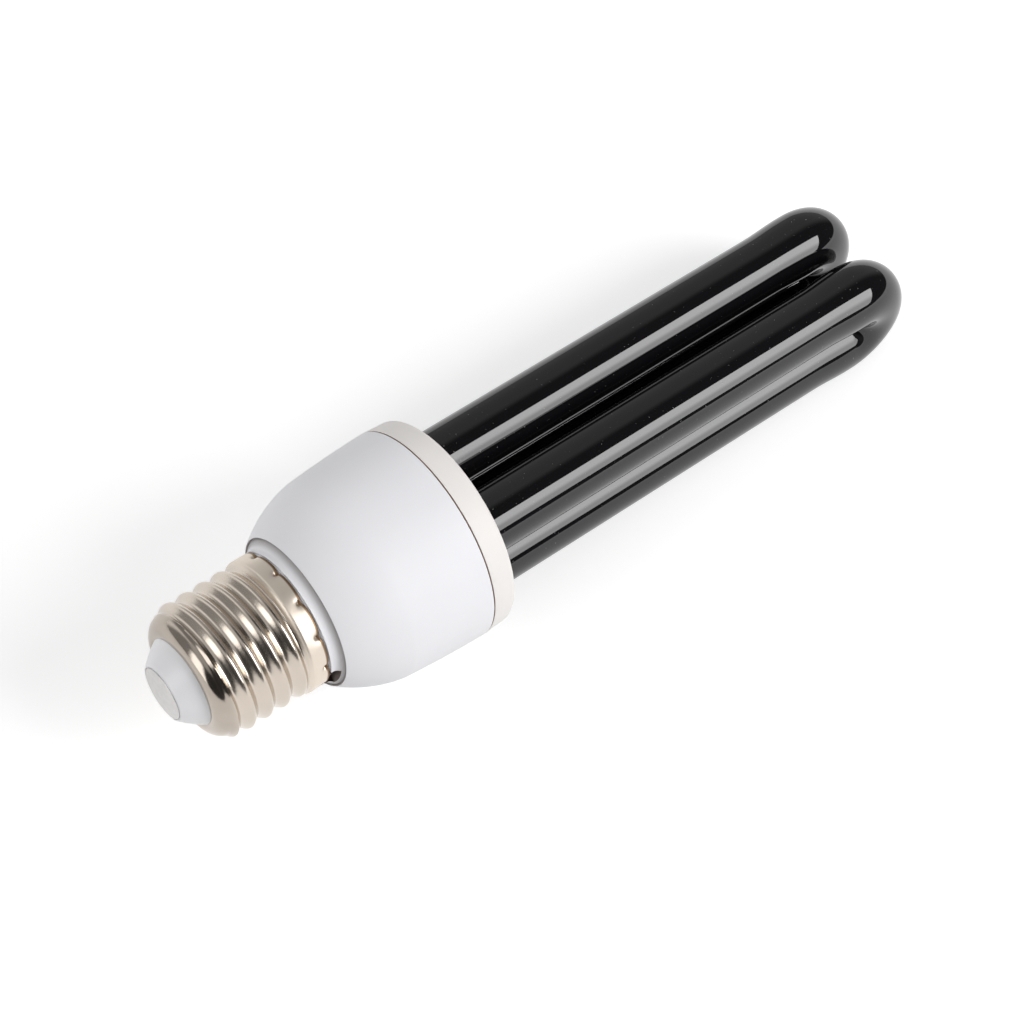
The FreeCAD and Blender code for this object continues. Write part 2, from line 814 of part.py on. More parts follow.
def make_choke():
    """Ferrite frame with two windows, a bobbin on its middle limb and the winding on the bobbin."""
    width = size("choke_width")
    height = board_low - bowl_floor - size("choke_floor_gap")
    thickness = size("choke_thickness")
    yoke = size("choke_yoke")
    limb = size("choke_limb")
    clear = size("bobbin_clearance")
    wall = size("bobbin_wall")
    inner = size("can_radius") + size("part_gap")
    depth = ledge_radius - size("choke_rim_gap") - inner
    window = (width - limb - yoke * 2) / 2
    window_height = height - yoke * 2
    ring = inner + depth / 2
    frame = box("choke_frame", thickness, width, height, z=height * -1)
    windows = []
    for side in (-1, 1):
        windows.append(box(f"choke_window_{side + 1}", thickness, window, window_height,
                           y=(limb + window) / 2 * side, z=yoke - height))
    core = cut("choke_ferrite", frame, fuse("choke_windows", windows))
    set_on_board(core, "choke_core", ring, 0)
    tube_depth = thickness + (clear + wall) * 2
    tube_width = limb + (clear + wall) * 2
    flange_width = limb + window * 2 - clear * 2
    bobbin_height = window_height - clear * 2
    bobbin_low = yoke + clear - height
    flange_top = bobbin_low + bobbin_height - wall
    spool = fuse("bobbin_spool", [
        box("bobbin_tube", tube_depth, tube_width, bobbin_height, z=bobbin_low),
        box("bobbin_flange_low", depth, flange_width, wall, z=bobbin_low),
        box("bobbin_flange_top", depth, flange_width, wall, z=flange_top),
    ])
    limb_hole = box("bobbin_hole", thickness + clear * 2, limb + clear * 2, bobbin_height, z=bobbin_low)
    set_on_board(cut("bobbin", spool, limb_hole), "choke_bobbin", ring, 0)
    winding_height = bobbin_height - wall * 2
    wound = box("winding_block", depth - wall, flange_width - wall, winding_height, z=bobbin_low + wall)
    wound_hole = box("winding_hole", tube_depth, tube_width, winding_height, z=bobbin_low + wall)
    set_on_board(cut("winding", wound, wound_hole), "choke_winding", ring, 0)


def make_drive():
    """Small ring core with one wound stretch that lies against the board."""
    wall = size("drive_winding_wall")
    inner = size("can_radius") + size("part_gap")
    radius = (ledge_radius - size("drive_rim_gap") - inner) / 2 - wall
    bore = radius - size("drive_ring_width")
    low = size("drive_height") * -1
    ring = inner + radius + wall
    ring_outline = [(bore, low), (radius, low), (radius, 0), (bore, 0)]
    core = turned("drive_ring", ring_outline)
    set_on_board(core, "drive_core", ring, DRIVE_ANGLE, wall)
    wound_outline = [
        (bore - wall, low - wall),
        (radius + wall, low - wall),
        (radius + wall, wall),
        (bore - wall, wall),
    ]
    full = turned("drive_wound", wound_outline, angle=size("drive_winding_angle"))
    inside = turned("drive_inside", ring_outline)
    set_on_board(cut("drive_wrap", full, inside), "drive_winding", ring, DRIVE_ANGLE, wall)


def make_film(label, kind, ring, angle):
    """Dipped film capacitor with rounded edges, seated on the board."""
    body = new_body(label + "_dip")
    width = size(f"film_{kind}_width")
    depth = size(f"film_{kind}_depth")
    edge = size("film_edge")
    sketch = new_sketch(body, label + "_section", "XY_Plane")
    outline = [
        (depth / 2, edge - width / 2),
        (depth / 2, width / 2 - edge),
        (depth / 2 - edge, width / 2),
        (edge - depth / 2, width / 2),
        (depth / -2, width / 2 - edge),
        (depth / -2, edge - width / 2),
        (edge - depth / 2, width / -2),
        (depth / 2 - edge, width / -2),
    ]
    draw_outline(sketch, outline)
    pad = body.newObject("PartDesign::Pad", label + "_pad")
    pad.Profile = sketch
    pad.Reversed = True
    bind(pad, "Length", size(f"film_{kind}_height"))
    set_on_board(body, label, ring, angle)


def make_transistor(index, angle):
    """Moulded case with one flat side, held off the board by its three legs."""
    radius = size("transistor_radius")
    standoff = size("transistor_standoff")
    height = size("transistor_height")
    leg = size("transistor_leg")
    case = cylinder(f"case_{index}", radius, height, z=(standoff + height) * -1)
    flat = box(f"flat_{index}", radius, radius * 2, height, size("transistor_flat") + radius / 2, 0,
               (standoff + height) * -1)
    legs = []
    for place in (-1, 0, 1):
        legs.append(box(f"leg_{index}_{place + 1}", leg, leg, standoff, 0, size("transistor_leg_pitch") * place,
                        standoff * -1))
    set_on_board(fuse(f"moulding_{index}", [cut(f"d_case_{index}", case, flat)] + legs), f"transistor_{index}",
                 ledge_radius - size("transistor_rim_gap"), angle)


def make_axial(label, name, radius, length, angle, waist=0, cap=0):
    """Round-bodied piece lying along the board's rim, with a narrower waist where it has end caps."""
    half = length / 2
    outline = [(0, half * -1), (radius, half * -1)]
    if waist:
        outline += [(radius, cap - half), (radius - waist, cap - half), (radius - waist, half - cap),
                    (radius, half - cap)]
    outline += [(radius, half), (0, half)]
    item = turned(name, outline)
    set_on_board(item, label, ledge_radius - size("rim_part_gap"), angle, radius)
    laid_down = FreeCAD.Rotation(LENGTHWAYS, 90)
    item.Placement.Rotation = item.Placement.Rotation.multiply(laid_down)


def make_board_parts():
    """Everything that hangs under the board, round the smoothing capacitor."""
    inner = size("can_radius") + size("part_gap")
    make_can()
    make_choke()
    make_drive()
    make_film("resonant_capacitor", "large", inner + size("film_large_depth") / 2, FILM_LARGE_ANGLE)
    make_film("coupling_capacitor", "small", inner + size("film_small_depth") / 2, FILM_SMALL_ANGLE)
    for index, angle in enumerate(TRANSISTOR_ANGLES, start=1):
        make_transistor(index, angle)
    for index, angle in enumerate(DIODE_ANGLES, start=1):
        make_axial(f"rectifier_diode_{index}", f"diode_{index}", size("diode_radius"), size("diode_length"),
                   angle)
    for index, angle in enumerate(RESISTOR_ANGLES, start=1):
        make_axial(f"resistor_{index}", f"ohm_{index}", size("resistor_radius"), size("resistor_length"), angle,
                   size("resistor_waist"), size("resistor_cap"))
    make_axial("diac", "trigger", size("diac_radius"), size("diac_length"), DIAC_ANGLE)


def resting_tilt(edge_height, edge_radius):
    """Lean, in radians, of a lamp that lies on one round edge and on the bends of its two lower legs."""
    run = tube_tip.value - bend_reach.value - edge_height
    return math.acos(bend_reach.value / math.hypot(run, edge_radius)) - math.atan2(run, edge_radius)


def lying_placement():
    """Lays the lamp on its steepest edge and its lower legs, tube end along +X, base centre at the origin."""
    edges = [
        (seam.value, body_radius.value),
        ((seam + size("seam_gap")).value, body_radius.value),
        ((cover_top - size("cover_edge")).value, cover_top_radius.value),
    ]
    tilt, edge_height, edge_radius = max((resting_tilt(*edge), *edge) for edge in edges)
    far_end = (tube_tip - bend_reach).value * math.cos(tilt) + bend_reach.value
    lift = edge_height * math.sin(tilt) + edge_radius * math.cos(tilt)
    along_x = FreeCAD.Rotation(SIDEWAYS, UPRIGHT, LENGTHWAYS, "XYZ")
    lean = FreeCAD.Rotation(SIDEWAYS, math.degrees(tilt))
    return FreeCAD.Placement(FreeCAD.Vector(far_end / -2, 0, lift), lean.multiply(along_x))


def lay_down(item, placement):
    """Gives a sub-part its final Placement, in place of the one it had on the upright axis."""
    for path, formula in item.ExpressionEngine:
        if "Placement" in path:
            item.setExpression(path, None)
    item.Placement = placement.multiply(item.Placement)


def check_document():
    """Stops if anything in the document failed, or if a sub-part isn't sound."""
    for item in doc.Objects:
        if "Invalid" in item.State or "Error" in item.State:
            raise RuntimeError(f"{item.Name} failed: {item.State}")
    for label, item in sub_parts.items():
        if item.Shape.isNull() or not item.Shape.isValid():
            raise RuntimeError(f"{label} has no sound shape")


make_contact()
make_insulator()
make_shell()
make_housing()
make_cover()
make_cement()
make_tube()
make_board()
make_board_parts()
make_pins_and_leads()
make_mains_wires()
doc.recompute()
lying = lying_placement()
for item in sub_parts.values():
    lay_down(item, lying)
doc.recompute()
check_document()

os.makedirs("parts", exist_ok=True)
for label, item in sub_parts.items():
    item.Shape.exportStep(f"parts/{label}.step")
    print(label, len(item.Shape.Solids), round(item.Shape.Volume, 2))
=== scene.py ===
import json
import math

import bmesh
import bpy
from mathutils import Matrix, Vector


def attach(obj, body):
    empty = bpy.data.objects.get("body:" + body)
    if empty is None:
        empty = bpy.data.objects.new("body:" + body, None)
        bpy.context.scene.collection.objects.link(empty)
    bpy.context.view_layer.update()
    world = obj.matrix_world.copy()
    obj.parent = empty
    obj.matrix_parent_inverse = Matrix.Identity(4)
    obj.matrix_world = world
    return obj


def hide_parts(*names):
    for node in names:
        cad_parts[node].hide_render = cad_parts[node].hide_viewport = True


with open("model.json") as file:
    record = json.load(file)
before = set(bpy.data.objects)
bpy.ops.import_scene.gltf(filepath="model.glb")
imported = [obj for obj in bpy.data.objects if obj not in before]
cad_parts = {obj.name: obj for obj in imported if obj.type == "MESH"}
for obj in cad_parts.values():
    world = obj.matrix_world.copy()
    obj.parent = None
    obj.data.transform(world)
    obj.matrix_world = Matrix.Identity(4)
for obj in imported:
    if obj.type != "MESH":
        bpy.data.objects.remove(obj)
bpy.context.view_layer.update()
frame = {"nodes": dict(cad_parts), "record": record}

# Levels along the axis
INSULATOR_LOW = 0.4
SHELL_LOW = 4.4
SHOULDER_TOP = 6.4
INSULATOR_TOP = 6.7
SKIRT_LOW = 22.5
STAKE_LEVEL = 25.5
SHELL_RIM = 26.4
BAND_LOW = 26.55
LIP_LEVEL = 28.55
BODY_LOW = 39.75
BOARD_LOW = 43.15
LEG_LOW = 51.15
CATCH_LOW = 53.75
CATCH_MIDDLE = 54.15
CATCH_TOP = 54.55
SEAM = 56.55
COVER_UNDER = 60.35
COVER_TOP = 61.85
TUBE_TIP = 166.25

# Cap
SHELL_WALL = 0.35
INSULATOR_BASE = 8.6
SHOULDER_RADIUS = 12.0
THREAD_CREST = 13.1
THREAD_ROOT = 12.05
THREAD_PITCH = 3.629
THREAD_START = math.radians(-58.7)
SKIRT_RADIUS = 13.36

# Staking dents, and how far the shell's rim is drawn in and down at each of them
STAKE_COUNT = 12
STAKE_FIRST = math.radians(19.8)
PIT_DEPTH = 0.52
PIT_WIDTH = 0.42
DIMPLE_DEPTH = 0.14
DIMPLE_WIDTH = 1.2
RIM_PULL = 0.12
RIM_DROP = 0.26
RIM_WIDTH = 0.8
SCALLOP_DROP = 0.10
SCALLOP_WIDTH = 2.2

# Housing and cover
BAND_RADIUS = 13.4
LIP_RADIUS = 15.1
BODY_RADIUS = 21.1
CATCH_REACH = 0.25
SLOT_ANGLE = math.radians(194)
SLOT_WIDTH = 6.4
SLOT_HEIGHT = 1.65
HOLE_RADIUS = 6.25

# Glass
LEG_RADIUS = 6.0
BLOWN_RADIUS = 6.35
LEG_SPACING = 13.95
TUBE_SPACING = 15.3

# Meshes
TURN_STEPS = 192
SMOOTH_ANGLE = 35
BLOCK_FACES = [(0, 1, 3, 2), (4, 6, 7, 5), (0, 4, 5, 1), (2, 3, 7, 6), (0, 2, 6, 4), (1, 5, 7, 3)]

# The lamp is drawn upright, in millimetres from its centre contact, and laid down along its cap's axis
MM = 0.001
CAP_MIDDLE = (SHELL_LOW + SKIRT_LOW) / 2
cap_mount = frame["record"]["mounts"][0]
AXIS = -Vector(cap_mount["axis"]).normalized()
ACROSS = Vector((0, 1, 0))
TIP_PLACE = Vector(cap_mount["pos_m"]) - AXIS * CAP_MIDDLE * MM
LYING_TURN = Matrix((ACROSS, AXIS.cross(ACROSS), AXIS)).transposed()
LYING = Matrix.Translation(TIP_PLACE) @ LYING_TURN.to_4x4() @ Matrix.Scale(MM, 4)


def add_piece(name, points, faces, smooth_angle=SMOOTH_ANGLE):
    """A mesh object from points in the lamp's own millimetres."""
    mesh = bpy.data.meshes.new(name)
    mesh.from_pydata([LYING @ Vector(point) for point in points], [], faces)
    mesh.validate()
    work = bmesh.new()
    work.from_mesh(mesh)
    bmesh.ops.recalc_face_normals(work, faces=work.faces)
    work.to_mesh(mesh)
    work.free()
    mesh.shade_smooth()
    mesh.set_sharp_from_angle(angle=math.radians(smooth_angle))
    piece = bpy.data.objects.new(name, mesh)
    bpy.context.scene.collection.objects.link(piece)
    return piece


def mark(piece, name, domain, share_at):
    """Stores a share from 0 to 1 on each point or face, from its place in the lamp's own millimetres."""
    upright = LYING.inverted()
    mesh = piece.data
    if domain == "FACE":
        places = [face.center for face in mesh.polygons]
    else:
        places = [point.co for point in mesh.vertices]
    values = [share_at(upright @ place) for place in places]
    mesh.attributes.new(name, "FLOAT", domain).data.foreach_set("value", values)


def arc(start, via, end, steps):
    """Points on the circle through three points, from just after start up to end."""
    (ax, ay), (bx, by), (cx, cy) = start, via, end
    a_square = ax * ax + ay * ay
    b_square = bx * bx + by * by
    c_square = cx * cx + cy * cy
    divisor = 2 * (ax * (by - cy) + bx * (cy - ay) + cx * (ay - by))
    middle_x = (a_square * (by - cy) + b_square * (cy - ay) + c_square * (ay - by)) / divisor
    middle_y = (a_square * (cx - bx) + b_square * (ax - cx) + c_square * (bx - ax)) / divisor
    radius = math.hypot(ax - middle_x, ay - middle_y)
    first = math.atan2(ay - middle_y, ax - middle_x)
    halfway = (math.atan2(by - middle_y, bx - middle_x) - first) % math.tau
    sweep = (math.atan2(cy - middle_y, cx - middle_x) - first) % math.tau
    if halfway > sweep:
        sweep -= math.tau
    points = []
    for step in range(1, steps + 1):
        turn = first + sweep * step / steps
        points.append((middle_x + radius * math.cos(turn), middle_y + radius * math.sin(turn)))
    return points


def rounded(corners, steps=6):
    """An outline whose corners (radius, height, rounding) are rounded off."""
    outline = []
    for index, corner in enumerate(corners):
        here = Vector(corner[:2])
        rounding = corner[2] if len(corner) > 2 else 0
        if not rounding:
            outline.append(tuple(here))
            continue
        before = (Vector(corners[index - 1][:2]) - here).normalized()
        after = (Vector(corners[(index + 1) % len(corners)][:2]) - here).normalized()
        half = before.angle(after) / 2
        reach = rounding / math.tan(half)
        centre = here + (before + after).normalized() * (rounding / math.sin(half))
        start = here + before * reach
        end = here + after * reach
        middle = centre + (here - centre).normalized() * rounding
        outline.append(tuple(start))
        outline += arc(tuple(start), tuple(middle), tuple(end), steps)
    return outline


def lathe(outline, closed=True, steps=TURN_STEPS):
    """Points and faces of an outline of (radius, height) turned about the axis, with poles on the axis."""
    on_axis = 1e-6
    points = []
    rings = []
    for radius, height in outline:
        if radius < on_axis:
            rings.append([len(points)] * steps)
            points.append((0, 0, height))
            continue
        rings.append(range(len(points), len(points) + steps))
        for step in range(steps):
            turn = math.tau * step / steps
            points.append((radius * math.cos(turn), radius * math.sin(turn), height))
    pairs = list(zip(rings, rings[1:]))
    if closed:
        pairs.append((rings[-1], rings[0]))
    return points, join_rings(pairs, steps)


def join_rings(pairs, steps):
    """Faces between pairs of rings of points, with triangles at a pole."""
    faces = []
    for low, high in pairs:
        for step in range(steps):
            after = (step + 1) % steps
            corners = [low[step], low[after], high[after], high[step]]
            face = list(dict.fromkeys(corners))
            if len(face) > 2:
                faces.append(face)
    return faces


def smoothstep(low, high, value):
    """A share that runs smoothly from 0 to 1 while the value runs from low to high."""
    t = min(max((value - low) / (high - low), 0), 1)
    return t * t * (3 - 2 * t)


def soft_min(a, b, width):
    """The lesser of two numbers, rounded off where they cross."""
    t = min(max(0.5 + (b - a) / (2 * width), 0), 1)
    return b * (1 - t) + a * t - width * t * (1 - t)


def cut_away(piece, cutter):
    """Cuts one mesh out of another and deletes the cutter."""
    boolean = piece.modifiers.new("cut", "BOOLEAN")
    boolean.operation = "DIFFERENCE"
    boolean.solver = "EXACT"
    boolean.object = cutter
    bpy.context.view_layer.update()
    graph = bpy.context.evaluated_depsgraph_get()
    mesh = bpy.data.meshes.new_from_object(piece.evaluated_get(graph))
    piece.modifiers.clear()
    piece.data = mesh
    bpy.data.objects.remove(cutter)
    mesh.shade_smooth()
    mesh.set_sharp_from_angle(angle=math.radians(SMOOTH_ANGLE))


# Screw shell


def thread_radius(turn, height):
    """Rolled thread: each level is a circle set off the axis, and the offset turns as the level rises."""
    offset = (THREAD_CREST - THREAD_ROOT) / 2
    middle = (THREAD_CREST + THREAD_ROOT) / 2
    lead = turn - THREAD_START - math.tau * (height - SHELL_LOW) / THREAD_PITCH
    return offset * math.cos(lead) + math.sqrt(middle ** 2 - (offset * math.sin(lead)) ** 2)


def beside_stake(turn):
    """Distance round the skirt from the nearest staking dent."""
    pitch = math.tau / STAKE_COUNT
    return ((turn - STAKE_FIRST + pitch / 2) % pitch - pitch / 2) * SKIRT_RADIUS


def stake_dent(turn, height):
    """Depth of the staking dents round the skirt: a sharp pit in a shallow dimple, and a pulled rim."""
    crease_low = STAKE_LEVEL - 1.0
    crease_top = STAKE_LEVEL + 0.4
    across = beside_stake(turn)
    along = height - STAKE_LEVEL
    near = across * across + along * along
    dimple = DIMPLE_DEPTH * math.exp(-near / DIMPLE_WIDTH ** 2)
    pit = PIT_DEPTH * math.exp(-near / PIT_WIDTH ** 2)
    pull = RIM_PULL * math.exp(-(across / RIM_WIDTH) ** 2) * smoothstep(crease_low, crease_top, height)
    return dimple + pit + pull


def rim_dip(turn):
    """The rim is drawn down at each staking dent and stands in shallow scallops between them."""
    across = beside_stake(turn)
    drop = RIM_DROP * math.exp(-(across / RIM_WIDTH) ** 2)
    return drop + SCALLOP_DROP * math.exp(-(across / SCALLOP_WIDTH) ** 2)


def make_shell():
    """Rolled sheet: a rounded shoulder, the thread, a skirt with its dents, a rounded rim and the inside."""
    steps = 480
    shoulder_low = (INSULATOR_BASE, SHELL_LOW)
    shoulder_middle = (10.85, 4.85)
    shoulder_rows = 16
    thread_step = 0.2
    thread_fade = 1.6
    thread_blend = 0.2
    fine_from = SKIRT_LOW - 1
    skirt_step = 0.13
    skirt_blend = 0.7
    past_skirt = SKIRT_RADIUS + 1
    rim_round = 0.32
    rim_rows = 4
    inside_every = 3
    shoulder_lift = SHELL_WALL * 0.7
    profile = [shoulder_low]
    profile += arc(shoulder_low, shoulder_middle, (SHOULDER_RADIUS, SHOULDER_TOP), shoulder_rows)
    level = SHOULDER_TOP
    while level < SHELL_RIM - rim_round - skirt_step:
        level += thread_step if level < fine_from else skirt_step
        envelope = SHOULDER_RADIUS + (SKIRT_RADIUS - SHOULDER_RADIUS) * (level - SHOULDER_TOP) / thread_fade
        profile.append((min(envelope, past_skirt), level))
    points = []
    rings = []

    def add_ring(radius_at, level_at):
        rings.append(range(len(points), len(points) + steps))
        for step in range(steps):
            turn = math.tau * step / steps
            radius = radius_at(turn)
            points.append((radius * math.cos(turn), radius * math.sin(turn), level_at(turn)))

    def wall_radius(turn, envelope, height):
        threaded = soft_min(thread_radius(turn, height), envelope, thread_blend)
        skirt = smoothstep(SKIRT_LOW - skirt_blend, SKIRT_LOW + skirt_blend, height)
        return threaded * (1 - skirt) + SKIRT_RADIUS * skirt - stake_dent(turn, height)

    def level_near_rim(turn, height):
        return height - rim_dip(turn) * smoothstep(STAKE_LEVEL, SHELL_RIM, height)

    for envelope, height in profile:
        add_ring(lambda turn: wall_radius(turn, envelope, height), lambda turn: level_near_rim(turn, height))
    for row in range(1, rim_rows + 1):
        roll = row / rim_rows * math.pi / 2
        inset = rim_round * (1 - math.cos(roll))
        height = SHELL_RIM - rim_round * (1 - math.sin(roll))
        add_ring(lambda turn: wall_radius(turn, past_skirt, height) - inset,
                 lambda turn: level_near_rim(turn, height))
    for envelope, height in reversed(profile[::inside_every]):
        lifted = height + shoulder_lift if height < SHOULDER_TOP else height
        add_ring(lambda turn: wall_radius(turn, envelope, height) - SHELL_WALL,
                 lambda turn: level_near_rim(turn, lifted))
    pairs = list(zip(rings, rings[1:])) + [(rings[-1], rings[0])]
    shell = add_piece("cap_shell", points, join_rings(pairs, steps), smooth_angle=50)
    rim_band_width = 0.55
    rim_band_blend = 0.1
    dull_thread_run = 2
    dull_skirt_blend = 0.6

    # Rim band: worn edge where the brass shows, darkened further as painted shade of the crevice against the
    # housing.
    def rim_brass_and_shade_share(place):
        rim_band_from = SHELL_RIM - rim_dip(math.atan2(place.y, place.x)) - rim_band_width
        return smoothstep(rim_band_from - rim_band_blend, rim_band_from + rim_band_blend, place.z)

    def dull_share(place):
        thread = smoothstep(SHOULDER_TOP, SHOULDER_TOP + dull_thread_run, place.z)
        skirt = smoothstep(SKIRT_LOW - dull_skirt_blend, SKIRT_LOW + dull_skirt_blend, place.z)
        return (thread + skirt) / 2

    mark(shell, "rim_brass_and_shade", "POINT", rim_brass_and_shade_share)
    mark(shell, "dullness", "POINT", dull_share)
    return shell


# Contact, insulator, housing and cover


def make_contact():
    """Slightly domed disc with a rounded edge, and a shank behind it."""
    dome_middle = (2.8, 0.10)
    dome_edge = (4.75, 0.27)
    edge_middle = (5.0, 0.31)
    rim_radius = 5.1
    shank_radius = 1.5
    shank_top = 5.0
    outline = [(0, 0)] + arc((0, 0), dome_middle, dome_edge, steps=14)
    outline += arc(dome_edge, edge_middle, (rim_radius, INSULATOR_LOW), steps=6)
    outline += [(shank_radius, INSULATOR_LOW), (shank_radius, shank_top), (0, shank_top)]
    return add_piece("contact_disc", *lathe(outline, closed=False))


def make_insulator():
    """Moulded cone with a fine groove round the contact, and a flange inside the shell's shoulder."""
    shank_bore = 1.55
    seat = 4.8
    groove_outside = 5.25
    groove_floor = INSULATOR_LOW + 0.35
    tip = 5.4
    tip_level = INSULATOR_LOW + 0.04
    cone_low = (tip + 0.12, INSULATOR_LOW + 0.1)
    cone_middle = ((tip + INSULATOR_BASE) / 2 + 0.12, 2.28)
    throat = 8.15
    flange = 9.6
    flange_low = 5.5
    outline = [(shank_bore, INSULATOR_LOW), (seat, INSULATOR_LOW), (seat, groove_floor),
               (groove_outside, groove_floor), (groove_outside, tip_level), (tip, tip_level), cone_low]
    outline += arc(cone_low, cone_middle, (INSULATOR_BASE, SHELL_LOW), steps=16)
    outline += [(throat, SHELL_LOW), (throat, flange_low), (flange, flange_low), (flange, INSULATOR_TOP),
                (shank_bore, INSULATOR_TOP)]
    return add_piece("insulator_cone", *lathe(outline))


def make_housing():
    """Moulded housing: the neck inside the shell, band, cove, lip, bowl and body, and the hollow inside."""
    bore = 10.35
    neck = 11.6
    neck_low = 6.8
    collar = 12.91
    collar_low = 22.95
    groove = 12.56
    groove_low = 24.35
    groove_top = 26.35
    band_edge = 0.1
    outline = [(bore, neck_low), (neck, neck_low), (neck, collar_low), (collar, collar_low),
               (collar, groove_low), (groove, groove_low), (groove, groove_top), (collar, groove_top),
               (collar, BAND_LOW)]

    # Band and cove, with a narrow recess behind the lip
    cove_low = BAND_LOW + 0.3
    cove_rows = 20
    rows_before_recess = 14
    corner_share = 1 - math.sqrt(0.5)
    cove_middle = (BAND_RADIUS + (LIP_RADIUS - BAND_RADIUS) * corner_share,
                   LIP_LEVEL - (LIP_LEVEL - cove_low) * corner_share)
    recess = 14.62
    recess_wall = [(recess, LIP_LEVEL + 0.1), (recess + 0.08, LIP_LEVEL + 0.35),
                   (recess + 0.2, LIP_LEVEL + 0.4)]
    lip_inside = LIP_RADIUS - 0.16
    lip_edge = 0.05
    lip_outside = (LIP_RADIUS + 0.42, LIP_LEVEL + 0.55)
    outline += rounded([(collar, BAND_LOW), (BAND_RADIUS, BAND_LOW, band_edge), (BAND_RADIUS, cove_low)])[1:]
    cove = arc((BAND_RADIUS, cove_low), cove_middle, (LIP_RADIUS, LIP_LEVEL), cove_rows)
    outline += cove[:rows_before_recess]
    outline += recess_wall
    outline += rounded([outline[-1], (lip_inside, LIP_LEVEL, lip_edge), (LIP_RADIUS, LIP_LEVEL, lip_edge),
                        lip_outside], steps=4)[1:-1]

    # Bowl and body up to the seam
    bowl_middle = (17.75, LIP_LEVEL + 4.2)
    bowl_top = (20.1, BODY_LOW)
    body_middle = (20.75, BODY_LOW + 8.4)
    body_top = (BODY_RADIUS, SEAM - 0.12)
    seam_edge = [(BODY_RADIUS - 0.02, SEAM - 0.04), (BODY_RADIUS - 0.1, SEAM)]
    outline += arc((LIP_RADIUS, LIP_LEVEL), bowl_middle, bowl_top, steps=40)[1:]
    outline += arc(bowl_top, body_middle, body_top, steps=40)
    outline += seam_edge

    # Inside: the mouth with its catch, the ledge for the board and the hollow of the bowl
    mouth = 19.6
    mouth_low = 52.1
    board_bore = 18.9
    board_bore_top = 51.35
    ledge = 17.8
    bowl_inside = (15.95, 33.05)
    floor_edge = 13.6
    floor_level = 30.05
    outline += [(mouth, SEAM), (mouth, CATCH_TOP), (mouth + CATCH_REACH, CATCH_MIDDLE), (mouth, CATCH_LOW),
                (mouth, mouth_low), (board_bore, board_bore_top), (board_bore, BOARD_LOW), (ledge, BOARD_LOW),
                (ledge, BODY_LOW), bowl_inside, (floor_edge, floor_level), (bore, floor_level)]
    housing = add_piece("housing_body", *lathe(outline))

    # Slot for the shell's lead
    slot_low = 22.7
    slot_top = BAND_LOW + SLOT_HEIGHT
    overcut = 0.1
    slot_along = Vector((math.cos(SLOT_ANGLE), math.sin(SLOT_ANGLE), 0))
    slot_across = Vector((-math.sin(SLOT_ANGLE), math.cos(SLOT_ANGLE), 0))
    corners = []
    for along in (bore - overcut, LIP_RADIUS + overcut):
        for across in (-SLOT_WIDTH / 2, SLOT_WIDTH / 2):
            for height in (slot_low, slot_top):
                x = along * math.cos(SLOT_ANGLE) - across * math.sin(SLOT_ANGLE)
                y = along * math.sin(SLOT_ANGLE) + across * math.cos(SLOT_ANGLE)
                corners.append((x, y, height))
    cut_away(housing, add_piece("slot_cutter", corners, BLOCK_FACES))
    slack = 0.02
    edge_slack = 0.1
    recess_region_top = LIP_LEVEL + 0.5
    lip_shade_low = LIP_LEVEL - 1.1
    lip_shade_high = LIP_LEVEL + 0.1

    # Faces of the lead's slot, painted near black as the shade inside the notch.
    def in_slot(place):
        between = abs(place.dot(slot_across)) < SLOT_WIDTH / 2 + slack and place.dot(slot_along) > bore
        return float(between and slot_low - slack < place.z < slot_top + slack)

    # Painted shade: the housing turns grey towards the lip inside the recess behind it, where shade falls.
    def lip_shade_share(place):
        radius = math.hypot(place.x, place.y)
        behind_lip = BAND_RADIUS - edge_slack < radius < LIP_RADIUS - edge_slack
        if not behind_lip or not BAND_LOW < place.z < recess_region_top:
            return 0.0
        return smoothstep(lip_shade_low, lip_shade_high, place.z)

    mark(housing, "painted_slot_shade", "FACE", in_slot)
    mark(housing, "painted_lip_shade", "POINT", lip_shade_share)
    return housing


def leg_places():
    """Where the four legs of the tubes stand, in the plane across the axis."""
    half_tubes = TUBE_SPACING / 2
    half_legs = LEG_SPACING / 2
    return [(x, y) for x in (half_tubes, -half_tubes) for y in (half_legs, -half_legs)]


def make_cover():
    """Moulded cover: a shadow gap at the seam, a spigot that snaps into the housing and four leg holes."""
    shadow = 20.7
    shadow_top = SEAM + 0.25
    low_edge = 0.12
    top_radius = 20.75
    top_edge = 1.0
    flat_radius = 15
    spigot = 19.5
    spigot_bore = 18.1
    spigot_low = 52.55
    outline = [(shadow, SEAM), (shadow, shadow_top)]
    outline += rounded([(shadow, shadow_top), (BODY_RADIUS, shadow_top, low_edge),
                        (top_radius, COVER_TOP, top_edge), (flat_radius, COVER_TOP)])[1:]
    outline += [(0, COVER_TOP), (0, COVER_UNDER), (spigot_bore, COVER_UNDER), (spigot_bore, spigot_low),
                (spigot, spigot_low), (spigot, CATCH_LOW), (spigot + CATCH_REACH, CATCH_MIDDLE),
                (spigot, CATCH_TOP), (spigot, SEAM)]
    cover = add_piece("cover_ring", *lathe(outline))

    # Leg holes, flared at the top
    hole_steps = 96
    under = COVER_UNDER - 1
    over = COVER_TOP + 1
    mouth_radius = HOLE_RADIUS + 0.4
    flare_low = COVER_TOP - 0.35
    flare_top = COVER_TOP + 0.05
    hole = [(0, under), (HOLE_RADIUS, under), (HOLE_RADIUS, flare_low), (mouth_radius, flare_top),
            (mouth_radius, over), (0, over)]
    for x, y in leg_places():
        points, faces = lathe(hole, closed=False, steps=hole_steps)
        moved = [(px + x, py + y, pz) for px, py, pz in points]
        cut_away(cover, add_piece("leg_cutter", moved, faces))
    slack = 0.01

    # Faces of the shadow gap at the seam, painted brown as shade.
    def in_seam(place):
        outside_spigot = math.hypot(place.x, place.y) > spigot + slack
        return float(outside_spigot and SEAM - slack < place.z < shadow_top + slack)

    mark(cover, "painted_seam_shade", "FACE", in_seam)
    return cover


# Glass


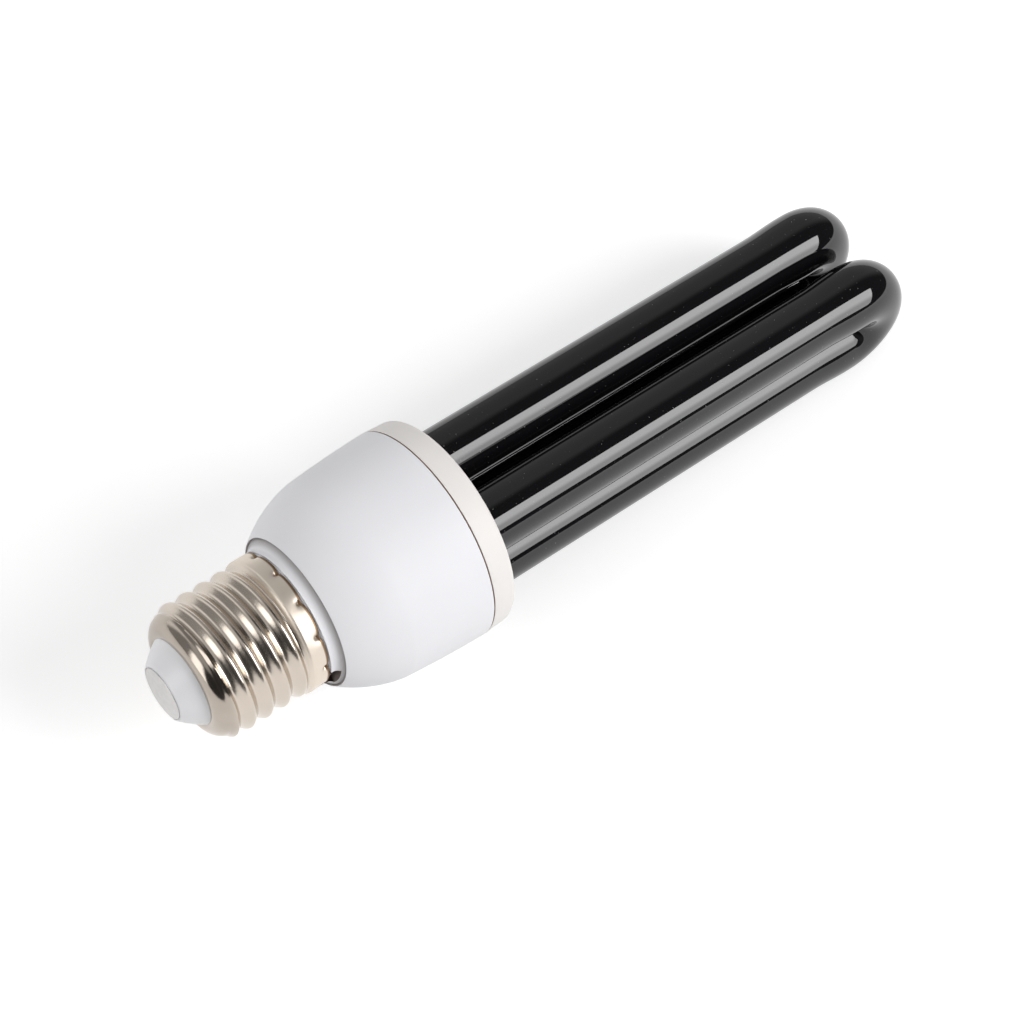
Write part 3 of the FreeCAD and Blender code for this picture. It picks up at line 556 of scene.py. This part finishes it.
def leg_radius(height):
    """The leg swells where it was heated and blown into the bend."""
    swell_low = TUBE_TIP - 23
    swell_top = TUBE_TIP - 14.5
    return LEG_RADIUS + (BLOWN_RADIUS - LEG_RADIUS) * smoothstep(swell_low, swell_top, height)


def u_tube(x):
    """One U of tube at x: rings of points up one leg, round the bend and down the other."""
    steps = 96
    bevel = 2.5
    bevel_rows = 5
    leg_rows = 44
    bend_rows = 72
    half = LEG_SPACING / 2
    spring = TUBE_TIP - BLOWN_RADIUS - half
    low = LEG_LOW + bevel
    leg = []
    for row in range(bevel_rows + 1):
        roll = math.pi / (2 * bevel_rows) * row
        leg.append((LEG_LOW + bevel * row / bevel_rows, LEG_RADIUS - bevel + bevel * math.sin(roll)))
    for row in range(1, leg_rows + 1):
        height = low + (spring - low) * row / leg_rows
        leg.append((height, leg_radius(height)))
    stations = [(half, height, 0, radius) for height, radius in leg]
    for row in range(1, bend_rows):
        turn = math.pi * row / bend_rows
        stations.append((half * math.cos(turn), spring + half * math.sin(turn), turn, BLOWN_RADIUS))
    stations += [(-half, height, math.pi, radius) for height, radius in reversed(leg)]
    points = []
    rings = []
    for y, z, turn, radius in stations:
        rings.append(list(range(len(points), len(points) + steps)))
        for step in range(steps):
            around = math.tau * step / steps
            out = radius * math.cos(around)
            points.append((x + radius * math.sin(around), y + out * math.cos(turn), z + out * math.sin(turn)))
    faces = join_rings(list(zip(rings, rings[1:])), steps)
    faces += [rings[0], rings[-1]]
    return points, faces


def block(length, width, height, x, y, z):
    """A box with its lower face at z, as points and faces."""
    points = []
    for i in (-1, 1):
        for j in (-1, 1):
            for k in (0, 1):
                points.append((x + i * length / 2, y + j * width / 2, z + k * height))
    return points, BLOCK_FACES


def make_glass():
    """The two U tubes, the bridge that joins them under the cover, and the pinched ends of two legs."""
    bridge_radius = 2.4
    bridge_reach = 6
    bridge_level = 54.25
    bridge_steps = 48
    pinch_length = 7.0
    pinch_width = 2.2
    pinch_height = 5.7
    pinch_low = LEG_LOW - 3.2
    bridge = [(0, -bridge_reach), (bridge_radius, -bridge_reach), (bridge_radius, bridge_reach),
              (0, bridge_reach)]
    upright_points, bridge_faces = lathe(bridge, closed=False, steps=bridge_steps)
    bridge_points = [(z, y + LEG_SPACING / 2, bridge_level + x) for x, y, z in upright_points]
    shapes = [u_tube(TUBE_SPACING / 2), u_tube(-TUBE_SPACING / 2), (bridge_points, bridge_faces)]
    for x, y in leg_places()[1::2]:
        shapes.append(block(pinch_length, pinch_width, pinch_height, x, y, pinch_low))
    points = []
    faces = []
    for more_points, more_faces in shapes:
        faces += [[corner + len(points) for corner in face] for face in more_faces]
        points += more_points
    return add_piece("glass_tubes", points, faces)


# Materials

# Noise runs mostly between these two values
MOTTLE_LOW = 0.3
MOTTLE_HIGH = 0.7

# Depth of a moulded or plated surface's grain, in metres
FINE_GRAIN = 0.00001


def new_material(name):
    """An empty material with its nodes, links and shader."""
    made = bpy.data.materials.new(name)
    made.use_nodes = True
    nodes = made.node_tree.nodes
    return made, nodes, made.node_tree.links, nodes["Principled BSDF"]


def noise(nodes, links, scale, detail=4.0, stretch=None):
    """Noise in the lamp's own place, with scale in features per metre."""
    place = nodes.new("ShaderNodeTexCoord")
    texture = nodes.new("ShaderNodeTexNoise")
    texture.inputs["Scale"].default_value = scale
    texture.inputs["Detail"].default_value = detail
    source = place.outputs["Object"]
    if stretch:
        mapping = nodes.new("ShaderNodeMapping")
        mapping.inputs["Scale"].default_value = stretch
        links.new(source, mapping.inputs["Vector"])
        source = mapping.outputs["Vector"]
    links.new(source, texture.inputs["Vector"])
    return texture.outputs["Fac"]


def mottled(nodes, links, mottle, dark, light):
    """A colour that goes from dark to light with the mottle."""
    colours = nodes.new("ShaderNodeValToRGB")
    colours.color_ramp.elements[0].position = MOTTLE_LOW
    colours.color_ramp.elements[0].color = (*dark, 1)
    colours.color_ramp.elements[1].position = MOTTLE_HIGH
    colours.color_ramp.elements[1].color = (*light, 1)
    links.new(mottle, colours.inputs["Fac"])
    return colours.outputs["Color"]


def remap(nodes, links, source, start, end, low, high, curve="LINEAR"):
    """A number that runs from low to high while the source runs from start to end."""
    node = nodes.new("ShaderNodeMapRange")
    node.interpolation_type = curve
    node.inputs["From Min"].default_value = start
    node.inputs["From Max"].default_value = end
    node.inputs["To Min"].default_value = low
    node.inputs["To Max"].default_value = high
    links.new(source, node.inputs["Value"])
    return node.outputs["Result"]


def spread(nodes, links, mottle, low, high):
    """A number that goes from low to high with the mottle."""
    return remap(nodes, links, mottle, MOTTLE_LOW, MOTTLE_HIGH, low, high)


def fade(nodes, links, source, start, end, low, high):
    """A number that runs smoothly from low to high while the source runs from start to end."""
    return remap(nodes, links, source, start, end, low, high, "SMOOTHSTEP")


def combine(nodes, links, operation, first, *others):
    """One number made from two or more."""
    result = first
    for other in others:
        node = nodes.new("ShaderNodeMath")
        node.operation = operation
        links.new(result, node.inputs[0])
        links.new(other, node.inputs[1])
        result = node.outputs[0]
    return result


def marked(nodes, name):
    """The share that the piece is marked with under a name."""
    share = nodes.new("ShaderNodeAttribute")
    share.attribute_name = name
    return share.outputs["Fac"]


def tint(nodes, links, share, under, over):
    """A colour that goes over to a second one with a share from 0 to 1."""
    colour = nodes.new("ShaderNodeMix")
    colour.data_type = "RGBA"
    colour.inputs["B"].default_value = (*over, 1)
    links.new(share, colour.inputs["Factor"])
    links.new(under, colour.inputs["A"])
    return colour.outputs["Result"]


def add_bump(nodes, links, shader, source, depth):
    """Bump from a source, with its depth in metres."""
    bump = nodes.new("ShaderNodeBump")
    bump.inputs["Strength"].default_value = 1.0
    bump.inputs["Distance"].default_value = depth
    links.new(source, bump.inputs["Height"])
    links.new(bump.outputs["Normal"], shader.inputs["Normal"])


def surface(name, dark, light, roughness, metallic, scale, grain_scale, grain_depth, stretch=None):
    """A plain procedural surface: mottled colour, uneven gloss and a fine grain."""
    smoother = 0.85
    rougher = 1.15
    made, nodes, links, shader = new_material(name)
    mottle = noise(nodes, links, scale, stretch=stretch)
    links.new(mottled(nodes, links, mottle, dark, light), shader.inputs["Base Color"])
    rough = spread(nodes, links, mottle, roughness * smoother, roughness * rougher)
    links.new(rough, shader.inputs["Roughness"])
    shader.inputs["Metallic"].default_value = metallic
    add_bump(nodes, links, shader, noise(nodes, links, grain_scale, stretch=stretch), grain_depth)
    return made


def nickel_surface(name):
    """Nickel-plated sheet: warm, bright on the shoulder, duller and paler on the skirt, dark brown at the
    rim, where bare brass shows on the worn edge and a painted shade stands for the crevice against the
    housing.
    """
    bright_plate = ((0.41, 0.36, 0.31), (0.46, 0.405, 0.35))
    dull_plate = (0.76, 0.68, 0.59)
    # Dark brown at the rim: partly bare brass, partly painted shade of the crevice.
    rim_brass_and_shade_colour = (0.24, 0.155, 0.09)
    made, nodes, links, shader = new_material(name)
    mottle = noise(nodes, links, scale=220.0)
    dullness = marked(nodes, "dullness")
    plate = mottled(nodes, links, mottle, *bright_plate)
    paler = tint(nodes, links, dullness, plate, dull_plate)
    # The rim band takes the brass colour darkened with painted shade.
    links.new(tint(nodes, links, marked(nodes, "rim_brass_and_shade"), paler, rim_brass_and_shade_colour), shader.inputs["Base Color"])
    rough = nodes.new("ShaderNodeMix")
    links.new(combine(nodes, links, "MULTIPLY", dullness, dullness), rough.inputs["Factor"])
    links.new(spread(nodes, links, mottle, low=0.11, high=0.15), rough.inputs["A"])
    links.new(spread(nodes, links, mottle, low=0.44, high=0.50), rough.inputs["B"])
    links.new(rough.outputs["Result"], shader.inputs["Roughness"])
    shader.inputs["Metallic"].default_value = 1.0
    add_bump(nodes, links, shader, noise(nodes, links, scale=1500.0), FINE_GRAIN)
    return made


def housing_surface(name):
    """White moulded plastic, with painted grey shade behind the neck's lip and painted near-black shade in
    the lead's slot.
    """
    white = ((0.88, 0.88, 0.91), (0.895, 0.895, 0.925))
    # Painted shade behind the neck's lip.
    lip_shade_colour = (0.40, 0.385, 0.385)
    # Painted shade: near-black brown inside the lead's slot.
    recess_shade_colour = (0.05, 0.028, 0.02)
    made, nodes, links, shader = new_material(name)
    mottle = noise(nodes, links, scale=120.0)
    clean = mottled(nodes, links, mottle, *white)
    lip_shaded = tint(nodes, links, marked(nodes, "painted_lip_shade"), clean, lip_shade_colour)
    links.new(tint(nodes, links, marked(nodes, "painted_slot_shade"), lip_shaded, recess_shade_colour), shader.inputs["Base Color"])
    links.new(spread(nodes, links, mottle, low=0.54, high=0.64), shader.inputs["Roughness"])
    add_bump(nodes, links, shader, noise(nodes, links, scale=2500.0), FINE_GRAIN)
    return made


def cover_surface(name):
    """Ivory moulded plastic, with a painted brown shade in the seam's shadow gap under it."""
    ivory = ((0.87, 0.84, 0.815), (0.89, 0.86, 0.835))
    # Painted shade: brown in the shadow gap of the seam.
    recess_shade_colour = (0.33, 0.20, 0.14)
    made, nodes, links, shader = new_material(name)
    mottle = noise(nodes, links, scale=160.0)
    clean = mottled(nodes, links, mottle, *ivory)
    links.new(tint(nodes, links, marked(nodes, "painted_seam_shade"), clean, recess_shade_colour), shader.inputs["Base Color"])
    links.new(spread(nodes, links, mottle, low=0.48, high=0.58), shader.inputs["Roughness"])
    add_bump(nodes, links, shader, noise(nodes, links, scale=2500.0), FINE_GRAIN)
    return made


def glass_surface(name):
    """Near-black violet glass: very glossy, with a faint draw in the glass and specks of dust."""
    black = (0.0046, 0.0043, 0.0051, 1)
    dust = (0.24, 0.23, 0.22, 1)
    draw_stretch = (0.35, 1, 1)
    draw_depth = 0.00012
    made, nodes, links, shader = new_material(name)
    dust_noise = noise(nodes, links, scale=2600.0, detail=2.0)
    fleck = remap(nodes, links, dust_noise, start=0.735, end=0.775, low=0.0, high=1.0)
    colour = nodes.new("ShaderNodeMix")
    colour.data_type = "RGBA"
    colour.inputs["A"].default_value = black
    colour.inputs["B"].default_value = dust
    links.new(fleck, colour.inputs["Factor"])
    links.new(colour.outputs["Result"], shader.inputs["Base Color"])
    rough = remap(nodes, links, fleck, start=0.0, end=1.0, low=0.035, high=0.5)
    links.new(rough, shader.inputs["Roughness"])
    shader.inputs["IOR"].default_value = 1.57
    draw = noise(nodes, links, scale=60.0, detail=1.0, stretch=draw_stretch)
    add_bump(nodes, links, shader, draw, draw_depth)
    return made


def paint(piece, made):
    """Gives a piece one material."""
    piece.data.materials.clear()
    piece.data.materials.append(made)


# Dark and light colour, roughness, metallic, mottle and grain in features per metre, depth of grain in metres
PLAIN_SURFACES = {
    "tinned_contact": ((0.57, 0.555, 0.545), (0.68, 0.665, 0.655), 0.42, 0.85, 700, 4000, 0.00003),
    "white_insulator": ((0.90, 0.90, 0.92), (0.91, 0.91, 0.93), 0.36, 0, 150, 2500, 0.000005),
    "cement": ((0.55, 0.52, 0.47), (0.70, 0.67, 0.61), 0.85, 0, 900, 2500, 0.0001),
    "board": ((0.42, 0.25, 0.11), (0.52, 0.33, 0.16), 0.5, 0, 500, 3000, 0.00003),
    "can_sleeve": ((0.012, 0.018, 0.05), (0.02, 0.03, 0.08), 0.3, 0, 300, 1500, 0.00002),
    "ferrite": ((0.035, 0.035, 0.038), (0.07, 0.07, 0.075), 0.6, 0.1, 900, 4000, 0.00005),
    "bobbin_nylon": ((0.55, 0.53, 0.45), (0.66, 0.64, 0.56), 0.4, 0, 300, 2000, 0.00002),
    "enamelled_copper": ((0.42, 0.14, 0.05), (0.62, 0.25, 0.10), 0.25, 0.9, 500, 900, 0.0002, (0.2, 0.2, 6)),
    "dipped_film": ((0.35, 0.05, 0.015), (0.48, 0.08, 0.025), 0.22, 0, 250, 900, 0.00005),
    "black_case": ((0.012, 0.012, 0.013), (0.03, 0.03, 0.032), 0.45, 0, 900, 4000, 0.00003),
    "resistor_coating": ((0.50, 0.37, 0.20), (0.62, 0.48, 0.28), 0.4, 0, 600, 2500, 0.00003),
    "diac_glass": ((0.05, 0.12, 0.30), (0.10, 0.20, 0.42), 0.15, 0, 600, 2500, 0.00001),
    "fuse_coating": ((0.12, 0.22, 0.12), (0.2, 0.32, 0.18), 0.5, 0, 500, 2500, 0.00003),
    "wire_sleeve": ((0.55, 0.06, 0.04), (0.68, 0.10, 0.07), 0.45, 0, 400, 2500, 0.00002),
    "brown_sleeve": ((0.035, 0.02, 0.016), (0.06, 0.036, 0.03), 0.5, 0, 400, 2500, 0.00002),
    "tinned_wire": ((0.56, 0.56, 0.55), (0.70, 0.70, 0.69), 0.3, 1.0, 500, 2500, 0.00002),
}
SURFACES = {name: surface(name, *values) for name, values in PLAIN_SURFACES.items()}
SURFACES["nickel_shell"] = nickel_surface("nickel_shell")
SURFACES["white_housing"] = housing_surface("white_housing")
SURFACES["ivory_cover"] = cover_surface("ivory_cover")
SURFACES["black_glass"] = glass_surface("black_glass")

# Pieces, each in place of a node, and the nodes that are carried over
made_pieces = [
    (make_shell(), "screw_shell", "nickel_shell"),
    (make_contact(), "centre_contact", "tinned_contact"),
    (make_insulator(), "cap_insulator", "white_insulator"),
    (make_housing(), "base_housing", "white_housing"),
    (make_cover(), "tube_cover", "ivory_cover"),
    (make_glass(), "discharge_tube", "black_glass"),
]
for piece, node, finish in made_pieces:
    paint(piece, SURFACES[finish])
    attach(piece, "root")
    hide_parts(node)

replaced = {node for piece, node, finish in made_pieces}
finish_of = {entry["node"]: entry["material_slot"] for entry in frame["record"]["subparts"]}
for node, item in frame["nodes"].items():
    if node not in replaced:
        paint(item, SURFACES[finish_of[node]])

# Floor, light and camera


def make_floor():
    """Pale matt floor that also glows a little where it is seen, directly or in a reflection."""
    half = 4.0
    pale = (0.82, 0.82, 0.82, 1)
    white = (1, 1, 1, 1)
    glow = 0.45
    made, nodes, links, shader = new_material("floor")
    mesh = bpy.data.meshes.new("floor")
    corners = [(-half, -half, 0), (half, -half, 0), (half, half, 0), (-half, half, 0)]
    mesh.from_pydata(corners, [], [(0, 1, 2, 3)])
    floor = bpy.data.objects.new("floor", mesh)
    bpy.context.scene.collection.objects.link(floor)
    shader.inputs["Base Color"].default_value = pale
    shader.inputs["Roughness"].default_value = 0.9
    shader.inputs["Specular IOR Level"].default_value = 0.0
    path = nodes.new("ShaderNodeLightPath").outputs
    seen = combine(nodes, links, "MAXIMUM", path["Is Camera Ray"], path["Is Glossy Ray"],
                   path["Is Transmission Ray"])
    shader.inputs["Emission Color"].default_value = white
    strength = remap(nodes, links, seen, start=0.0, end=1.0, low=0.0, high=glow)
    links.new(strength, shader.inputs["Emission Strength"])
    paint(floor, made)


def make_world():
    """Studio round the lamp: a pale wall behind it, a bright panel past its cap, and a dim room elsewhere."""
    world = bpy.data.worlds.new("studio")
    world.use_nodes = True
    bpy.context.scene.world = world
    nodes = world.node_tree.nodes
    links = world.node_tree.links
    place = nodes.new("ShaderNodeTexCoord")
    split = nodes.new("ShaderNodeSeparateXYZ")
    links.new(place.outputs["Generated"], split.inputs["Vector"])
    along = split.outputs["X"]
    beside = split.outputs["Y"]
    overhead = split.outputs["Z"]
    wall = combine(
        nodes, links, "MULTIPLY",
        fade(nodes, links, along, start=-0.5, end=-0.25, low=0.3, high=1.0),
        fade(nodes, links, along, start=-0.2, end=0.4, low=1.08, high=0.40),
        fade(nodes, links, beside, start=0.0, end=0.35, low=0.13, high=1.0),
    )
    panel = combine(
        nodes, links, "MULTIPLY",
        fade(nodes, links, beside, start=-0.3, end=-0.15, low=0.0, high=1.0),
        fade(nodes, links, beside, start=0.15, end=0.35, low=1.0, high=0.0),
        fade(nodes, links, along, start=-0.8, end=-0.6, low=2.4, high=0.0),
    )
    ceiling = combine(
        nodes, links, "MULTIPLY",
        fade(nodes, links, along, start=0.2, end=0.37, low=0.6, high=0.0),
        fade(nodes, links, overhead, start=0.6, end=0.85, low=0.05, high=1.0),
    )
    light = combine(nodes, links, "MAXIMUM", wall, panel, ceiling)
    links.new(light, nodes["Background"].inputs["Strength"])
    nodes["Background"].inputs["Color"].default_value = (1, 1, 1, 1)


def add_softbox(name, aim, towards, across, distance, shift, width, height, power):
    """A flat rectangular light that faces a point of the lamp. It is brighter in its upper half."""
    lower = 0.7
    upper = 1.2
    light = bpy.data.lights.new(name, "AREA")
    light.shape = "RECTANGLE"
    light.size = width
    light.size_y = height
    light.energy = power
    light.use_nodes = True
    nodes = light.node_tree.nodes
    links = light.node_tree.links
    spot = nodes.new("ShaderNodeNewGeometry")
    split = nodes.new("ShaderNodeSeparateXYZ")
    links.new(spot.outputs["Parametric"], split.inputs["Vector"])
    graded = fade(nodes, links, split.outputs["Y"], start=0.25, end=0.6, low=lower, high=upper)
    links.new(graded, nodes["Emission"].inputs["Strength"])
    holder = bpy.data.objects.new(name, light)
    bpy.context.scene.collection.objects.link(holder)
    back = Vector(towards).normalized()
    up = back.cross(Vector(across)).normalized()
    side = up.cross(back)
    middle = Vector(aim) + back * distance + side * shift
    holder.matrix_world = Matrix.Translation(middle) @ Matrix((side, up, back)).transposed().to_4x4()


def make_camera():
    """Camera at the photo's place. Its place and directions are given in the upright lamp's own axes."""
    right = LYING_TURN @ Vector((-0.61857, 0.10272, 0.77896))
    up = LYING_TURN @ Vector((0.69628, 0.53110, 0.48285))
    place = LYING @ Vector((-188.19, 421.88, -127.58))
    back = right.cross(up)
    sensor_width = 36
    image_width = 1024
    focal_pixels = 2763
    camera = bpy.data.cameras.new("camera")
    camera.sensor_width = sensor_width
    camera.lens = sensor_width * focal_pixels / image_width
    holder = bpy.data.objects.new("camera", camera)
    bpy.context.scene.collection.objects.link(holder)
    holder.matrix_world = Matrix(((right.x, up.x, back.x, place.x), (right.y, up.y, back.y, place.y),
                                  (right.z, up.z, back.z, place.z), (0, 0, 0, 1)))
    bpy.context.scene.camera = holder


make_floor()
make_world()
add_softbox(
    "key_softbox",
    aim=(0.02, 0, 0.02),
    towards=(0.40, -0.732, 0.551),
    across=(0.861, 0.117, -0.494),
    distance=1.0,
    shift=0.08,
    width=0.6,
    height=0.70,
    power=8.4,
)
make_camera()
bpy.context.scene.view_settings.view_transform = "Standard"
